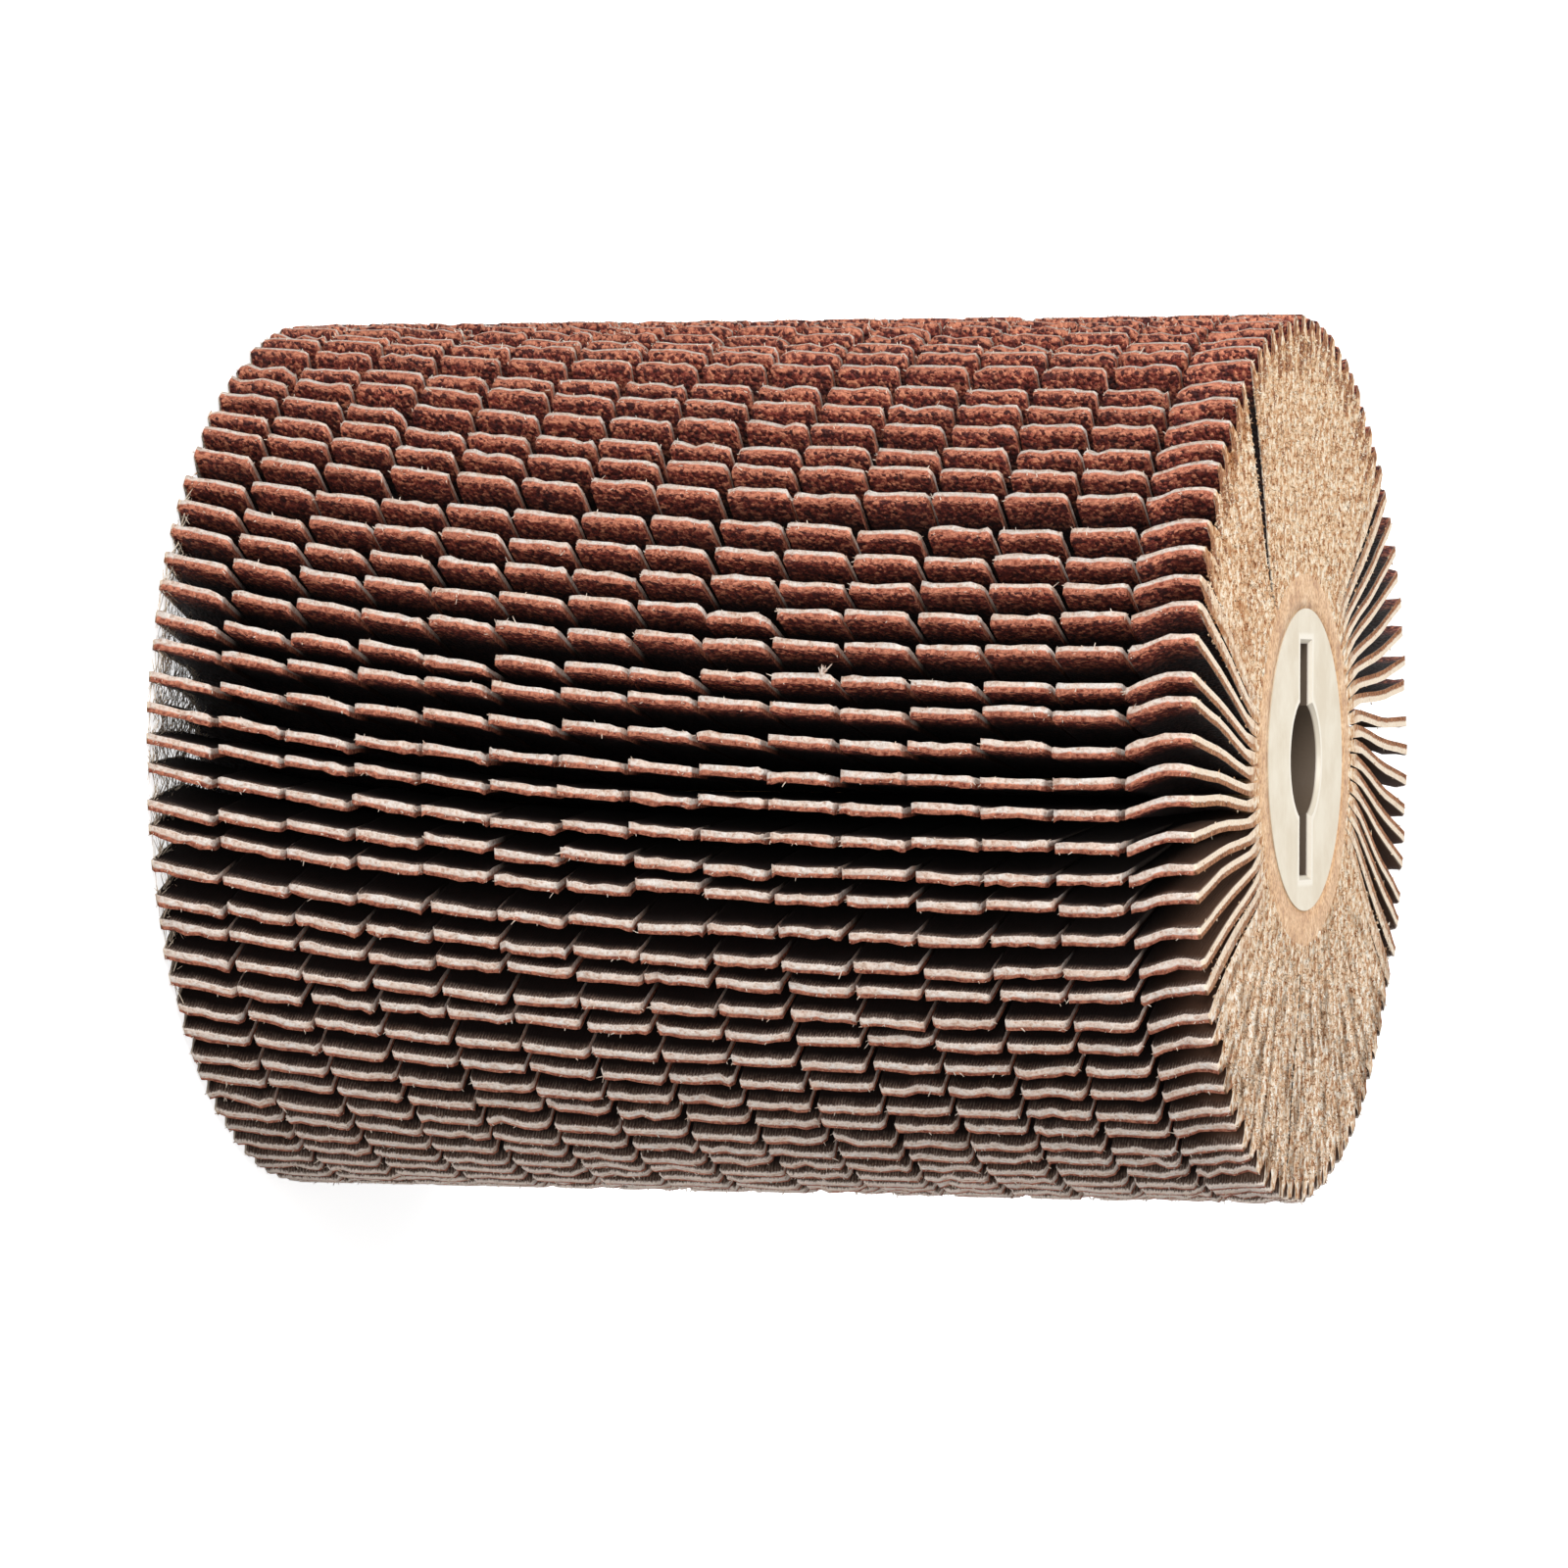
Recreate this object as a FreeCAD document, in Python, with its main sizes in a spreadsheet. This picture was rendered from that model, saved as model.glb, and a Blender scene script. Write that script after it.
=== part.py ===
"""Slashed abrasive flap wheel for a satin-finishing machine: a keyed core, a resin bond and 88 cloth flaps.

The wheel stands on its end. Its axis is +Z, the origin is the middle of the lower end face, and the
keyways of the core lie along X. Lengths are in millimetres and angles in degrees.
"""

import FreeCAD, Part
import math
import os

import Sketcher

DRIVING_SIZES = {
    "wheel_diameter": 100.0,
    "wheel_length": 120.0,
    "core_diameter": 34.0,
    "bore_diameter": 13.0,
    "keyway_width": 4.6,
    "keyway_span": 26.0,
    "bore_chamfer": 0.5,
    "bond_thickness": 3.5,
    "root_cover": 0.6,
    "flap_count": 88,
    "flap_thickness": 1.0,
    "flap_lean": 14.0,
    "straight_root": 8.0,
    "strip_count": 15,
    "slit_depth": 23.0,
    "slit_width": 0.8,
    "slit_floor": 0.08,
}
FLAPS_PER_NODE = 2
FULL_TURN = 360.0

# The slit knife's height in flap thicknesses, and its length in slit depths.
KNIFE_HEIGHTS = 2.0
KNIFE_LENGTHS = 3.0

# Circles and the knife start at this diameter and this tilt, before their own size and angle are set.
FIRST_DIAMETER = 1.0
FIRST_TILT = 1.0

# Two places closer than this are the same place, in millimetres.
SAME_PLACE = 1e-6

# Distance of the flap's root and of its bend from the axis.
ROOT_REACH = "(Sizes.core_diameter / 2 + Sizes.root_cover)"
BEND_REACH = "(Sizes.core_diameter / 2 + Sizes.root_cover + Sizes.straight_root)"

# How far the outer plane passes from the axis, and how far out along that plane the rim lies.
LEAF_OFFSET = BEND_REACH + " * sin(Sizes.flap_lean * 1 deg)"
RIM_REACH = "sqrt((Sizes.wheel_diameter / 2)^2 - (" + LEAF_OFFSET + " + Sizes.flap_thickness / 2)^2)"

# Tilt of the knife against the outer plane, so that its edge runs out at the slit's inner end.
KNIFE_TILT = "atan((Sizes.flap_thickness - Sizes.slit_floor) / Sizes.slit_depth)"


def make_sheet(doc):
    """Keep the driving sizes as plain numbers in a spreadsheet, each under its own name."""
    sheet = doc.addObject("Spreadsheet::Sheet", "Sizes")
    for row, (name, value) in enumerate(DRIVING_SIZES.items(), start=1):
        sheet.set(f"A{row}", name)
        sheet.set(f"B{row}", str(value))
        sheet.setAlias(f"B{row}", name)
    doc.recompute()
    return sheet


def origin_feature(body, role):
    """Find one of a body's own origin planes or axes."""
    return next(feature for feature in body.Origin.OriginFeatures if feature.Role == role)


def new_sketch(body, name, role):
    """Start a sketch on one of the body's origin planes."""
    sketch = body.newObject("Sketcher::SketchObject", name)
    sketch.AttachmentSupport = [(origin_feature(body, role), "")]
    sketch.MapMode = "FlatFace"
    return sketch


def constrain(sketch, name, expression, *arguments):
    """Add one driving size to a sketch and bind it to the spreadsheet."""
    index = sketch.addConstraint(Sketcher.Constraint(*arguments))
    sketch.renameConstraint(index, name)
    sketch.setExpression(f"Constraints.{name}", expression)


def add_circle(sketch, name, diameter):
    """Draw a circle about the wheel's axis."""
    first = Part.Circle(FreeCAD.Vector(), FreeCAD.Vector(0, 0, 1), FIRST_DIAMETER / 2)
    circle = sketch.addGeometry(first, False)
    sketch.addConstraint(Sketcher.Constraint("Coincident", circle, 3, -1, 1))
    constrain(sketch, name, diameter, "Diameter", circle, FIRST_DIAMETER)


def add_polygon(sketch, points):
    """Draw a closed outline of straight lines, each joined to the next."""
    lines = []
    for start, end in zip(points, points[1:] + points[:1]):
        line = Part.LineSegment(FreeCAD.Vector(*start, 0), FreeCAD.Vector(*end, 0))
        lines.append(sketch.addGeometry(line, False))
    for line, following in zip(lines, lines[1:] + lines[:1]):
        sketch.addConstraint(Sketcher.Constraint("Coincident", line, 2, following, 1))
    return lines


def add_rectangle(sketch, near, far, half_width):
    """Draw a rectangle that lies evenly about the sketch's X axis and runs from near to far."""
    corners = [(near, -half_width), (far, -half_width), (far, half_width), (near, half_width)]
    lines = add_polygon(sketch, corners)
    sketch.addConstraint(Sketcher.Constraint("Horizontal", lines[0]))
    sketch.addConstraint(Sketcher.Constraint("Horizontal", lines[2]))
    sketch.addConstraint(Sketcher.Constraint("Vertical", lines[1]))
    sketch.addConstraint(Sketcher.Constraint("Symmetric", lines[3], 1, lines[3], 2, -1))
    return lines


def pad_length(body, sketch):
    """Extrude a section over the length of the wheel."""
    pad = body.newObject("PartDesign::Pad", f"{body.Name}_length")
    pad.Profile = sketch
    pad.setExpression("Length", "Sizes.wheel_length")
    return pad


def cut_through(body, sketch, name):
    """Cut a section through the whole length of the wheel."""
    pocket = body.newObject("PartDesign::Pocket", name)
    pocket.Profile = sketch
    pocket.Type = "ThroughAll"
    pocket.Reversed = True
    return pocket


def bore_end_edges(shape, core_radius):
    """Name the edges round the keyed bore at both end faces."""
    ends = (shape.BoundBox.ZMin, shape.BoundBox.ZMax)
    names = []
    for number, edge in enumerate(shape.Edges, start=1):
        box = edge.BoundBox
        at_end = box.ZLength < SAME_PLACE and any(abs(box.ZMin - end) < SAME_PLACE for end in ends)
        outer = isinstance(edge.Curve, Part.Circle) and abs(edge.Curve.Radius - core_radius) < SAME_PLACE
        if at_end and not outer:
            names.append(f"Edge{number}")
    return names


def make_core(doc, sheet):
    """Moulded core: a thick tube whose bore has two opposite keyways for the machine's spindle."""
    body = doc.addObject("PartDesign::Body", "core")
    ring = new_sketch(body, "core_ring", "XY_Plane")
    add_circle(ring, "outside", "Sizes.core_diameter")
    add_circle(ring, "bore", "Sizes.bore_diameter")
    pad_length(body, ring)
    doc.recompute()

    slot = new_sketch(body, "keyway_slot", "XY_Plane")
    span = float(sheet.keyway_span)
    width = float(sheet.keyway_width)
    lines = add_rectangle(slot, -span / 2, span / 2, width / 2)
    constrain(slot, "span", "Sizes.keyway_span", "DistanceX", lines[0], 1, lines[0], 2, span)
    constrain(slot, "half_span", "Sizes.keyway_span / 2", "DistanceX", -1, 1, lines[0], 2, span / 2)
    constrain(slot, "width", "Sizes.keyway_width", "DistanceY", lines[1], 1, lines[1], 2, width)
    keyways = cut_through(body, slot, "keyways")
    doc.recompute()

    chamfer = body.newObject("PartDesign::Chamfer", "bore_chamfers")
    chamfer.Base = (keyways, bore_end_edges(keyways.Shape, float(sheet.core_diameter) / 2))
    chamfer.setExpression("Size", "Sizes.bore_chamfer")
    body.Tip = chamfer
    doc.recompute()
    return body


def make_resin_bond(doc, sheet):
    """Cast resin round the core, with one narrow radial seat for the root of each flap."""
    body = doc.addObject("PartDesign::Body", "resin_bond")
    ring = new_sketch(body, "bond_ring", "XY_Plane")
    add_circle(ring, "outside", "Sizes.core_diameter + 2 * Sizes.bond_thickness")
    add_circle(ring, "inside", "Sizes.core_diameter")
    pad_length(body, ring)
    doc.recompute()

    seat = new_sketch(body, "root_seat", "XY_Plane")
    root = float(sheet.core_diameter) / 2 + float(sheet.root_cover)
    depth = 2 * float(sheet.bond_thickness)
    width = float(sheet.flap_thickness)
    lines = add_rectangle(seat, root, root + depth, width / 2)
    constrain(seat, "width", "Sizes.flap_thickness", "DistanceY", lines[1], 1, lines[1], 2, width)
    constrain(seat, "root", ROOT_REACH, "DistanceX", -1, 1, lines[0], 1, root)
    constrain(seat, "depth", "2 * Sizes.bond_thickness", "DistanceX", lines[0], 1, lines[0], 2, depth)
    first_seat = cut_through(body, seat, "first_seat")
    doc.recompute()

    seats = body.newObject("PartDesign::PolarPattern", "root_seats")
    seats.Originals = [first_seat]
    seats.Axis = (origin_feature(body, "Z_Axis"), [""])
    seats.Angle = FULL_TURN
    seats.setExpression("Occurrences", "Sizes.flap_count")
    body.Tip = seats
    doc.recompute()
    return body


def draw_flap_section(sketch, sheet):
    """Section of one flap, with its outer plane along X and its root pointing at the wheel's axis."""
    lean = math.radians(float(sheet.flap_lean))
    half = float(sheet.flap_thickness) / 2
    root = float(sheet.core_diameter) / 2 + float(sheet.root_cover)
    bend = root + float(sheet.straight_root)
    reach = float(sheet.wheel_diameter) / 2
    along = FreeCAD.Vector(math.cos(lean), math.sin(lean), 0)
    aside = FreeCAD.Vector(-math.sin(lean), math.cos(lean), 0) * half
    mitre = half * math.tan(lean / 2)
    back_bend = along * (bend + mitre) - aside
    grit_bend = along * (bend - mitre) + aside
    outline = [along * root - aside, back_bend, (reach, back_bend.y), (reach, grit_bend.y), grit_bend,
               along * root + aside]
    back_root, back_leaf, rim, grit_leaf, grit_root, end = add_polygon(
        sketch, [tuple(point)[:2] for point in outline]
    )
    for line in (back_leaf, grit_leaf):
        sketch.addConstraint(Sketcher.Constraint("Horizontal", line))
    sketch.addConstraint(Sketcher.Constraint("Vertical", rim))
    sketch.addConstraint(Sketcher.Constraint("Parallel", back_root, grit_root))
    sketch.addConstraint(Sketcher.Constraint("Perpendicular", end, back_root))
    constrain(sketch, "lean", "Sizes.flap_lean * 1 deg", "Angle", -1, 1, back_root, 1, lean)
    constrain(sketch, "leaf_thickness", "Sizes.flap_thickness", "DistanceY", rim, 1, rim, 2, 2 * half)
    constrain(sketch, "root_thickness", "Sizes.flap_thickness", "Distance", end, 2 * half)
    constrain(sketch, "leaf_offset", LEAF_OFFSET + " + Sizes.flap_thickness / 2", "DistanceY", -1, 1, rim, 2,
              grit_bend.y)
    constrain(sketch, "rim_radius", "Sizes.wheel_diameter / 2", "Distance", -1, 1, rim, 2, reach)
    root_x = (
        ROOT_REACH + " * cos(Sizes.flap_lean * 1 deg)"
        " + Sizes.flap_thickness / 2 * sin(Sizes.flap_lean * 1 deg)"
    )
    root_y = (
        ROOT_REACH + " * sin(Sizes.flap_lean * 1 deg)"
        " - Sizes.flap_thickness / 2 * cos(Sizes.flap_lean * 1 deg)"
    )
    constrain(sketch, "root_x", root_x, "DistanceX", -1, 1, back_root, 1, outline[0].x)
    constrain(sketch, "root_y", root_y, "DistanceY", -1, 1, back_root, 1, outline[0].y)


def make_flap(doc, sheet):
    """One cloth flap: a straight root, a leaning outer plane, and slits that part it into strips.

    Each slit is the mark of a wedge-shaped knife. It is widest on the grit side at the rim, and runs
    out at its inner end and towards the backing.
    """
    body = doc.addObject("PartDesign::Body", "flap")
    section = new_sketch(body, "flap_section", "XY_Plane")
    draw_flap_section(section, sheet)
    pad_length(body, section)
    doc.recompute()

    knife = new_sketch(body, "slit_knife", "YZ_Plane")
    thickness = float(sheet.flap_thickness)
    height = KNIFE_HEIGHTS * thickness
    opening = height * float(sheet.slit_width) / (thickness - float(sheet.slit_floor))
    lines = add_polygon(knife, [(0, 0), (height, -opening / 2), (height, opening / 2)])
    knife.addConstraint(Sketcher.Constraint("Coincident", lines[0], 1, -1, 1))
    knife.addConstraint(Sketcher.Constraint("Symmetric", lines[1], 1, lines[1], 2, -1))
    knife_height = f"{KNIFE_HEIGHTS} * Sizes.flap_thickness"
    knife_opening = knife_height + " * Sizes.slit_width / (Sizes.flap_thickness - Sizes.slit_floor)"
    constrain(knife, "height", knife_height, "DistanceX", -1, 1, lines[1], 1, height)
    constrain(knife, "opening", knife_opening, "DistanceY", lines[1], 1, lines[1], 2, opening)
    slit_bottom = LEAF_OFFSET + " - Sizes.flap_thickness / 2 + Sizes.slit_floor"
    knife.setExpression("AttachmentOffset.Base.x", slit_bottom)
    knife.setExpression("AttachmentOffset.Base.y", "Sizes.wheel_length / Sizes.strip_count")
    knife.setExpression("AttachmentOffset.Base.z", RIM_REACH)
    knife_turn = FreeCAD.Rotation(FreeCAD.Vector(0, 1, 0), FIRST_TILT)
    knife.AttachmentOffset = FreeCAD.Placement(FreeCAD.Vector(), knife_turn)
    knife.setExpression("AttachmentOffset.Rotation.Angle", f"-{KNIFE_TILT}")
    first_slit = body.newObject("PartDesign::Pocket", "first_slit")
    first_slit.Profile = knife
    first_slit.Type = "Length"
    first_slit.Midplane = True
    first_slit.setExpression("Length", f"{KNIFE_LENGTHS} * Sizes.slit_depth")
    doc.recompute()

    slits = body.newObject("PartDesign::LinearPattern", "slits")
    slits.Originals = [first_slit]
    slits.Direction = (origin_feature(body, "Z_Axis"), [""])
    slits.setExpression("Length", "Sizes.wheel_length * (Sizes.strip_count - 2) / Sizes.strip_count")
    slits.setExpression("Occurrences", "Sizes.strip_count - 1")
    body.Tip = slits
    body.setExpression("Placement.Rotation.Angle", "-Sizes.flap_lean * 1 deg")
    doc.recompute()
    return body


def turned(doc, name, pieces, steps):
    """Group pieces and turn them about the wheel's axis by a number of flap spacings."""
    group = doc.addObject("Part::Compound", name)
    group.Links = pieces
    group.setExpression("Placement.Rotation.Angle", f"{steps} * {FULL_TURN} deg / Sizes.flap_count")
    return group


def make_flap_nodes(doc, sheet, flap):
    """Set the flaps round the core, two to a node."""
    count = int(sheet.flap_count)
    neighbour = turned(doc, "flap_neighbour", [flap], 1)
    nodes = []
    for first in range(0, count, FLAPS_PER_NODE):
        pieces = [flap, neighbour][:count - first]
        name = f"flap_pair_{first // FLAPS_PER_NODE + 1:02d}"
        nodes.append(turned(doc, name, pieces, first))
    return nodes


def check_and_write(doc, sub_parts):
    """Stop on any failed object or bad shape, then write one STEP file for each sub-part."""
    for item in doc.Objects:
        if "Invalid" in item.State or "Error" in item.State:
            raise RuntimeError(f"{item.Name} did not build: {item.State}")
    for item in sub_parts:
        if item.Shape.isNull() or not item.Shape.isValid():
            raise RuntimeError(f"{item.Name} has no valid shape")
    os.makedirs("parts", exist_ok=True)
    for item in sub_parts:
        item.Label = item.Name
        item.Shape.exportStep(os.path.join("parts", f"{item.Label}.step"))


def main():
    doc = FreeCAD.newDocument("flap_wheel")
    sheet = make_sheet(doc)
    core = make_core(doc, sheet)
    resin_bond = make_resin_bond(doc, sheet)
    flap = make_flap(doc, sheet)
    flap_nodes = make_flap_nodes(doc, sheet, flap)
    doc.recompute()
    check_and_write(doc, [core, resin_bond] + flap_nodes)


main()
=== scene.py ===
"""Looks of the slashed abrasive flap wheel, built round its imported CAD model.

The wheel stands on its end with its axis along +Z. The photograph shows it lying down, so the camera is
rolled by a quarter turn: the upper end of the wheel is at the right of the picture. The scene is in metres.
Named lengths of the wheel are in millimetres.
"""

import math

import bpy
import numpy as np
from mathutils import Matrix, Vector

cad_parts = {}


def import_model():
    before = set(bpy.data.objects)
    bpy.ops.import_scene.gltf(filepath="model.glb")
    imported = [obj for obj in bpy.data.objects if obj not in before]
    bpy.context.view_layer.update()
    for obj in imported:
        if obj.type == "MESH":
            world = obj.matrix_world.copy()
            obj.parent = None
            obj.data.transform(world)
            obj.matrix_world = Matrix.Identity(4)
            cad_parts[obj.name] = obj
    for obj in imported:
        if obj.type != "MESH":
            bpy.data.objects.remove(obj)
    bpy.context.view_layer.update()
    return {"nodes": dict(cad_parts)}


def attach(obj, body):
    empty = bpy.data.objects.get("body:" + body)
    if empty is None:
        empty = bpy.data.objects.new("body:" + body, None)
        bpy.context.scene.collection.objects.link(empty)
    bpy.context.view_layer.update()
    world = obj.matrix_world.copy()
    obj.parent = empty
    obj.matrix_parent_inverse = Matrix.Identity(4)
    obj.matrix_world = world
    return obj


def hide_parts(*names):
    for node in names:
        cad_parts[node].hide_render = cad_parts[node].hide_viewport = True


MM = 0.001
DEGREE = math.pi / 180
SEED = 2470

# How many cotton ends stand at the rim of each strip and at each end of a flap, and how many long threads
# hang from its lower end where it stands apart.
RIM_FIBRES = 12
END_FIBRES = 215
LOOSE_THREADS = 240

FLAP_COUNT = 88
FLAPS_PER_NODE = 2
STRIPS = 15
PITCH = 360.0 / FLAP_COUNT

# Radii and lengths of the wheel, in millimetres.
RIM_RADIUS = 50.0
WHEEL_LENGTH = 120.0
CORE_RADIUS = 17.0
BORE_RADIUS = 6.5
KEYWAY_REACH = 13.0
KEYWAY_HALF_WIDTH = 2.3
ROOT_RADIUS = 18.0
SLIT_START = 27.0
CLOTH_THICKNESS = 1.0

# Each flap leans clockwise, seen from the upper end, from a bend near its root: the slope of its outer part,
# and the distances from the axis where the bend starts and ends, in millimetres.
LEAN_SLOPE = 0.20
BEND_START = 21.5
BEND_END = 30.0

# Towards the lower end the flaps are also carried clockwise, by this much at the lower end itself, along a
# curve with this exponent. It grows between two distances from the axis. The last strip at the upper end is
# carried by a length of its own, between two shares of the wheel's length. Lengths are in millimetres, and
# the lean at the upper end is in degrees.
SHIFT_AT_LOWER_END = 7.7
SHIFT_FADE = 2.5
SHIFT_START = 20.5
SHIFT_END = 40.0
LAST_STRIP_SHIFT = 1.3
LAST_STRIP_RISE = (0.92, 0.98)
LEAN_AT_UPPER_END = 7.0


def ease(values, low, high):
    """Ease from 0 at the low value to 1 at the high one."""
    share = np.clip((values - low) / (high - low), 0.0, 1.0)
    return share * share * (3.0 - 2.0 * share)


def new_material(name):
    """Start a material with a Principled shader."""
    material = bpy.data.materials.new(name)
    material.use_nodes = True
    nodes = material.node_tree.nodes
    nodes.clear()
    output = nodes.new("ShaderNodeOutputMaterial")
    shader = nodes.new("ShaderNodeBsdfPrincipled")
    material.node_tree.links.new(shader.outputs["BSDF"], output.inputs["Surface"])
    return material, nodes, material.node_tree.links, shader


def object_coordinates(nodes, links, scale=(1.0, 1.0, 1.0)):
    """Positions in the row frame, stretched along each axis."""
    source = nodes.new("ShaderNodeTexCoord")
    mapping = nodes.new("ShaderNodeMapping")
    mapping.inputs["Scale"].default_value = scale
    links.new(source.outputs["Object"], mapping.inputs["Vector"])
    return mapping.outputs["Vector"]


def noise(nodes, links, vector, size, detail=3.0, rough=0.6):
    """Noise whose features are about size metres across."""
    node = nodes.new("ShaderNodeTexNoise")
    node.inputs["Scale"].default_value = 1.0 / size
    node.inputs["Detail"].default_value = detail
    node.inputs["Roughness"].default_value = rough
    links.new(vector, node.inputs["Vector"])
    return node.outputs["Fac"]


def ramp(nodes, links, factor, stops):
    """Colour ramp through (position, (r, g, b)) stops."""
    node = nodes.new("ShaderNodeValToRGB")
    elements = node.color_ramp.elements
    while len(elements) < len(stops):
        elements.new(0.5)
    for element, (position, colour) in zip(elements, stops):
        element.position = position
        element.color = (*colour, 1.0)
    links.new(factor, node.inputs["Fac"])
    return node.outputs["Color"]


def mix_colours(nodes, links, factor, first, second, blend="MIX"):
    """Mix two colours by a factor, each a socket or a value."""
    node = nodes.new("ShaderNodeMix")
    node.data_type = "RGBA"
    node.blend_type = blend
    for key, value in (("Factor", factor), ("A", first), ("B", second)):
        socket = next(s for s in node.inputs if s.name == key and s.enabled)
        if isinstance(value, bpy.types.NodeSocket):
            links.new(value, socket)
        elif key == "Factor":
            socket.default_value = value
        else:
            socket.default_value = (*value, 1.0)
    return next(s for s in node.outputs if s.enabled)


def multiply_colours(nodes, links, first, second):
    """The first colour tinted by the second one."""
    return mix_colours(nodes, links, 1.0, first, second, "MULTIPLY")


def remap(nodes, links, value, low, high, to_low=0.0, to_high=1.0):
    """Map a range smoothly onto another one."""
    node = nodes.new("ShaderNodeMapRange")
    node.interpolation_type = "SMOOTHSTEP"
    node.inputs["From Min"].default_value = low
    node.inputs["From Max"].default_value = high
    node.inputs["To Min"].default_value = to_low
    node.inputs["To Max"].default_value = to_high
    links.new(value, node.inputs["Value"])
    return node.outputs["Result"]


def calculate(nodes, links, operation, first, second):
    """One sum on two values, each a socket or a number."""
    node = nodes.new("ShaderNodeMath")
    node.operation = operation
    for socket, value in zip(node.inputs, (first, second)):
        if isinstance(value, bpy.types.NodeSocket):
            links.new(value, socket)
        else:
            socket.default_value = value
    return node.outputs["Value"]


def separate(nodes, links, vector):
    """The X, Y and Z of a position."""
    node = nodes.new("ShaderNodeSeparateXYZ")
    links.new(vector, node.inputs["Vector"])
    return node.outputs["X"], node.outputs["Y"], node.outputs["Z"]


def axis_distance(nodes, links, x, y):
    """Distance from the wheel's axis."""
    x_square = calculate(nodes, links, "MULTIPLY", x, x)
    y_square = calculate(nodes, links, "MULTIPLY", y, y)
    return calculate(nodes, links, "SQRT", calculate(nodes, links, "ADD", x_square, y_square), 0.0)


# Radius at which radial streaks have their full width, in millimetres, and how far they are drawn out.
STREAK_RADIUS = 35.0
STREAK_SQUEEZE = 0.22


def radial_noise(nodes, links, x, y, size):
    """Noise drawn out along the radius about the wheel's axis, its streaks about size metres across."""
    angle = calculate(nodes, links, "ARCTAN2", y, x)
    around = calculate(nodes, links, "MULTIPLY", angle, STREAK_RADIUS * MM)
    outward = calculate(nodes, links, "MULTIPLY", axis_distance(nodes, links, x, y), STREAK_SQUEEZE)
    streaks = nodes.new("ShaderNodeCombineXYZ")
    links.new(around, streaks.inputs["X"])
    links.new(outward, streaks.inputs["Y"])
    return noise(nodes, links, streaks.outputs["Vector"], size, detail=2.0)


def attribute(nodes, name):
    """A value stored on the mesh."""
    node = nodes.new("ShaderNodeAttribute")
    node.attribute_name = name
    return node.outputs["Fac"]


def bump(nodes, links, shader, height, distance, strength=1.0):
    """Relief of the given height in metres."""
    node = nodes.new("ShaderNodeBump")
    node.inputs["Distance"].default_value = distance
    node.inputs["Strength"].default_value = strength
    links.new(height, node.inputs["Height"])
    links.new(node.outputs["Normal"], shader.inputs["Normal"])


def frayed_colour(nodes, links, colour, cotton):
    """Turn a colour into that of bare cotton where the cloth frays at the wheel's ends."""
    fray = remap(nodes, links, attribute(nodes, "end"), 0.12, 0.5)
    return mix_colours(nodes, links, fray, colour, cotton)


# Size of the abrasive grains and pitch of the cloth's ribs, in millimetres.
GRAIN_SIZE = 0.42
RIB_PITCH = 0.34

# Heights between which the painted shade deep between the flaps turns lighter and warmer at the upper end,
# standing in for light from the end face, in millimetres.
WARM_SHADE = (112.0, 119.5)


def grit_material():
    """Red-brown abrasive grain in resin, paler and redder where the rim is worn, darker deeper down by
    painted shade.
    """
    material, nodes, links, shader = new_material("grit")
    place = object_coordinates(nodes, links)
    grain = nodes.new("ShaderNodeTexVoronoi")
    grain.inputs["Scale"].default_value = 1.0 / (GRAIN_SIZE * MM)
    links.new(place, grain.inputs["Vector"])
    fine = noise(nodes, links, place, 0.75 * MM, detail=4.0, rough=0.72)
    broad = noise(nodes, links, place, 6.0 * MM, detail=2.0)
    cell = nodes.new("ShaderNodeSeparateColor")
    links.new(grain.outputs["Color"], cell.inputs["Color"])
    centred = calculate(nodes, links, "SUBTRACT", cell.outputs["Red"], 0.5)
    mottle = calculate(nodes, links, "ADD", fine, calculate(nodes, links, "MULTIPLY", centred, 0.34))
    colour = ramp(nodes, links, mottle, [
        (0.33, (0.048, 0.0064, 0.0054)),
        (0.46, (0.140, 0.0210, 0.0165)),
        (0.57, (0.340, 0.0640, 0.0385)),
        (0.70, (0.800, 0.3100, 0.1750)),
    ])
    patch = ramp(nodes, links, broad, [(0.35, (0.72, 0.66, 0.66)), (0.68, (1.15, 1.10, 1.06))])
    colour = multiply_colours(nodes, links, colour, patch)
    depth = attribute(nodes, "depth_mm")
    near_rim = remap(nodes, links, depth, 0.10, 0.8, 1.0, 0.0)
    worn = calculate(nodes, links, "MULTIPLY", near_rim, remap(nodes, links, mottle, 0.38, 0.64))
    colour = mix_colours(nodes, links, worn, colour, (0.68, 0.260, 0.150))
    # Painted shade: the grain is darkened towards black with depth below the rim, where the flaps shade each
    # other.
    shade = remap(nodes, links, depth, 0.7, 6.0, 1.0, 0.045)
    grey = nodes.new("ShaderNodeCombineColor")
    for socket in grey.inputs[:3]:
        links.new(shade, socket)
    colour = multiply_colours(nodes, links, colour, grey.outputs["Color"])
    colour = frayed_colour(nodes, links, colour, (0.56, 0.46, 0.36))
    links.new(colour, shader.inputs["Base Color"])
    shader.inputs["Roughness"].default_value = 0.72
    shader.inputs["Specular IOR Level"].default_value = 0.35
    domes = calculate(nodes, links, "MULTIPLY", grain.outputs["Distance"], -0.8)
    crumbs = calculate(nodes, links, "MULTIPLY", fine, 1.2)
    bump(nodes, links, shader, calculate(nodes, links, "ADD", domes, crumbs), 0.28 * MM)
    return material


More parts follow.
